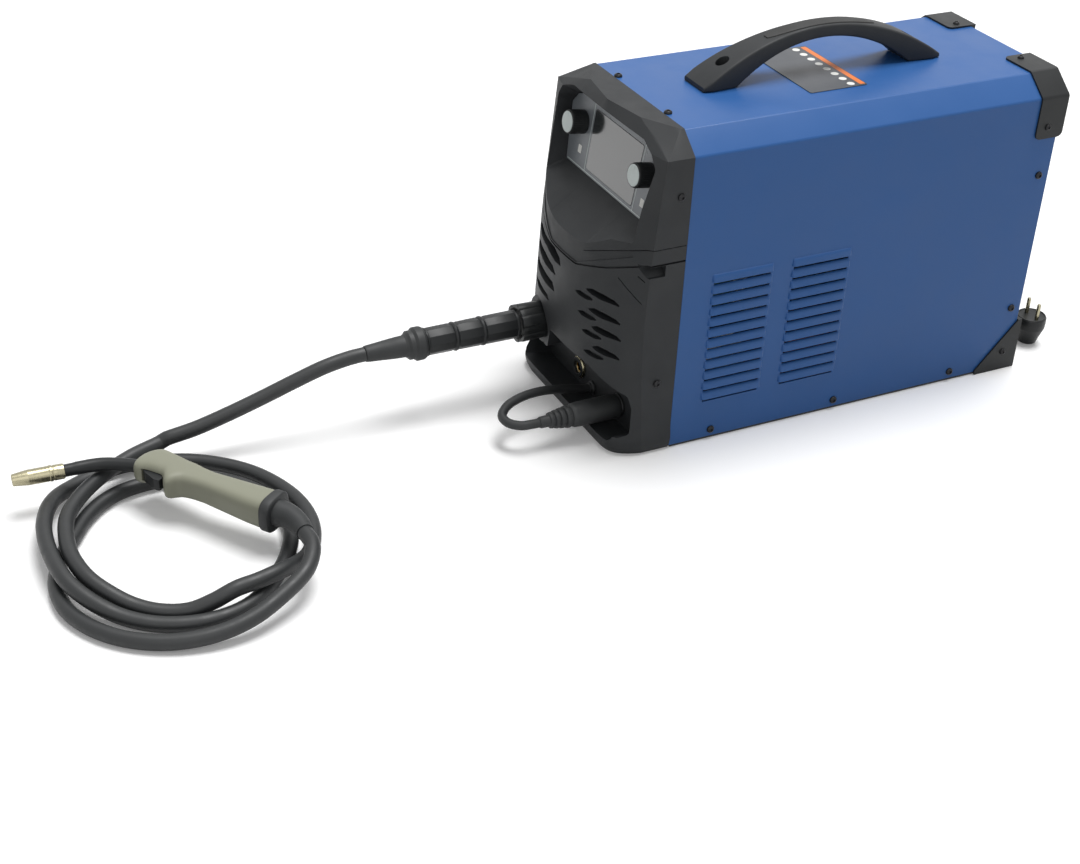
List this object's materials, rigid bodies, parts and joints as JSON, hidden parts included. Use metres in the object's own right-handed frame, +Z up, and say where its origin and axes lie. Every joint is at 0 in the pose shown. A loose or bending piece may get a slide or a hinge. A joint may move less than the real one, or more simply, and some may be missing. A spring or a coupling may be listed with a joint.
{
  "type": "mig welding machine",
  "caption": "Compact MIG inverter welder with carrying handle, front sockets and knobs, side spool door, wire feeder, coiled welding torch, polarity lead and mains lead.",
  "frame": {"origin": "on the floor, in the middle of the case's width, 245 mm behind the front end of its cover", "axes": "+X the louvred long side, -Y the front with the sockets and knobs, +Z up"},
  "size_m": [0.4143, 1.3171, 0.4295],
  "materials": {
    "aluminium": "as extruded",
    "black_plastic": "moulded, fine grain",
    "black_rubber": "matt",
    "blue_paint": "satin blue paint",
    "brass": "machined",
    "circuit_green": "soldered board",
    "copper": "machined copper",
    "dark_sheet": "textured black paint",
    "knob_black": "satin",
    "label_grey": "bare plate",
    "nickel": "nickel plated",
    "panel_grey": "printed overlay, bare",
    "screw_black": "blackened steel",
    "switch_red": "gloss",
    "torch_grey": "moulded, fine grain",
    "varnished_copper": "varnished winding",
    "welding_wire": "copper-coated wire on a spool",
    "window": "smoked clear plastic",
    "zinc_sheet": "zinc-plated sheet steel"
  },
  "bodies": {
    "machine": {"cover": "blue_paint", "base_pan": "zinc_sheet", "divider_panel": "zinc_sheet", "rear_panel": "dark_sheet", "front_bezel_upper": "black_plastic", "front_bezel_lower": "black_plastic", "control_panel": "panel_grey", "display_window": "window", "display_board": "circuit_green", "carrying_handle": "black_plastic", "handle_screw_front": "screw_black", "handle_screw_rear": "screw_black", "handle_grip_pad": "black_rubber", "top_label": "label_grey", "guard_top_right": "black_plastic", "guard_top_left": "black_plastic", "guard_bottom_right": "black_plastic", "guard_bottom_left": "black_plastic", "socket_plus": "black_plastic", "socket_minus": "brass", "lead_bushing": "nickel", "euro_socket": "brass", "fan_frame": "black_plastic", "switch_housing": "black_plastic", "gas_valve": "brass", "mains_gland": "black_rubber", "power_board": "circuit_green", "heat_sink": "aluminium", "output_choke": "varnished_copper", "spool_hub": "black_plastic", "feeder_plate": "aluminium", "feed_motor": "zinc_sheet", "wire_guide": "nickel", "connector_nut": "black_plastic", "connector_grip": "black_plastic", "connector_relief": "black_rubber", "torch_hose": "black_rubber", "torch_hose_coil": "black_rubber", "torch_handle": "torch_grey", "torch_neck": "black_rubber", "gas_nozzle": "nickel", "contact_tip": "copper", "torch_relief": "black_rubber", "polarity_plug": "black_rubber", "polarity_lead": "black_rubber", "mains_lead": "black_rubber", "mains_lead_coil": "black_rubber", "mains_plug": "black_plastic"},
    "door_latch_lower": {"door_latch_lower": "black_plastic"},
    "door_latch_upper": {"door_latch_upper": "black_plastic"},
    "drive_roller": {"drive_roller": "zinc_sheet"},
    "fan_rotor": {"fan_rotor": "black_plastic"},
    "idler_roller": {"idler_roller": "zinc_sheet"},
    "knob_left": {"knob_left": "knob_black"},
    "knob_right": {"knob_right": "knob_black"},
    "pressure_arm": {"pressure_arm": "black_plastic"},
    "spool_door": {"spool_door": "blue_paint"},
    "switch_rocker": {"switch_rocker": "switch_red"},
    "torch_trigger": {"torch_trigger": "knob_black"},
    "wire_spool": {"wire_spool": "welding_wire"}
  },
  "joints": [
    {"name": "knob_left_turn", "type": "hinge", "parent": "machine", "child": "knob_left", "pos_m": [-0.076, -0.26588, 0.317], "axis": [0, -0.989, 0.1478], "range_deg": [-135, 135]},
    {"name": "knob_right_turn", "type": "hinge", "parent": "machine", "child": "knob_right", "pos_m": [0.076, -0.26588, 0.317], "axis": [0, -0.989, 0.1478], "range_deg": [-135, 135]},
    {"name": "trigger_pull", "type": "hinge", "parent": "machine", "child": "torch_trigger", "pos_m": [0.01319, -0.80608, 0.042], "axis": [0, 0, 1], "range_deg": [0, 8], "stiffness_Nm_per_rad": 0.5, "springref_deg": -2.86},
    {"name": "fan_spin", "type": "hinge", "parent": "machine", "child": "fan_rotor", "pos_m": [0.052, 0.22, 0.19], "axis": [0, 1, 0], "continuous": true},
    {"name": "switch_rock", "type": "hinge", "parent": "machine", "child": "switch_rocker", "pos_m": [0.058, 0.232, 0.318], "axis": [1, 0, 0], "range_deg": [-16, 0]},
    {"name": "drive_spin", "type": "hinge", "parent": "machine", "child": "drive_roller", "pos_m": [-0.055, -0.15, 0.0745], "axis": [1, 0, 0], "continuous": true},
    {"name": "arm_lift", "type": "hinge", "parent": "machine", "child": "pressure_arm", "pos_m": [-0.049, -0.116, 0.1055], "axis": [1, 0, 0], "range_deg": [-60, 0]},
    {"name": "idler_spin", "type": "hinge", "parent": "pressure_arm", "child": "idler_roller", "pos_m": [-0.055, -0.15, 0.1015], "axis": [1, 0, 0], "continuous": true},
    {"name": "spool_spin", "type": "hinge", "parent": "machine", "child": "wire_spool", "pos_m": [-0.045, 0.087, 0.232], "axis": [1, 0, 0], "continuous": true},
    {"name": "door_swing", "type": "hinge", "parent": "machine", "child": "spool_door", "pos_m": [-0.1267, 0.1872, 0.178], "axis": [0, 0, -1], "range_deg": [0, 110]},
    {"name": "latch_lower_press", "type": "slide", "parent": "spool_door", "child": "door_latch_lower", "axis": [1, 0, 0], "range_m": [0, 0.0025], "stiffness_N_per_m": 600, "springref_m": -0.004},
    {"name": "latch_upper_press", "type": "slide", "parent": "spool_door", "child": "door_latch_upper", "axis": [1, 0, 0], "range_m": [0, 0.0025], "stiffness_N_per_m": 600, "springref_m": -0.004}
  ],
  "couplings": [
    {"joint": "idler_spin", "follows": "drive_spin", "ratio": -1.3636}
  ]
}
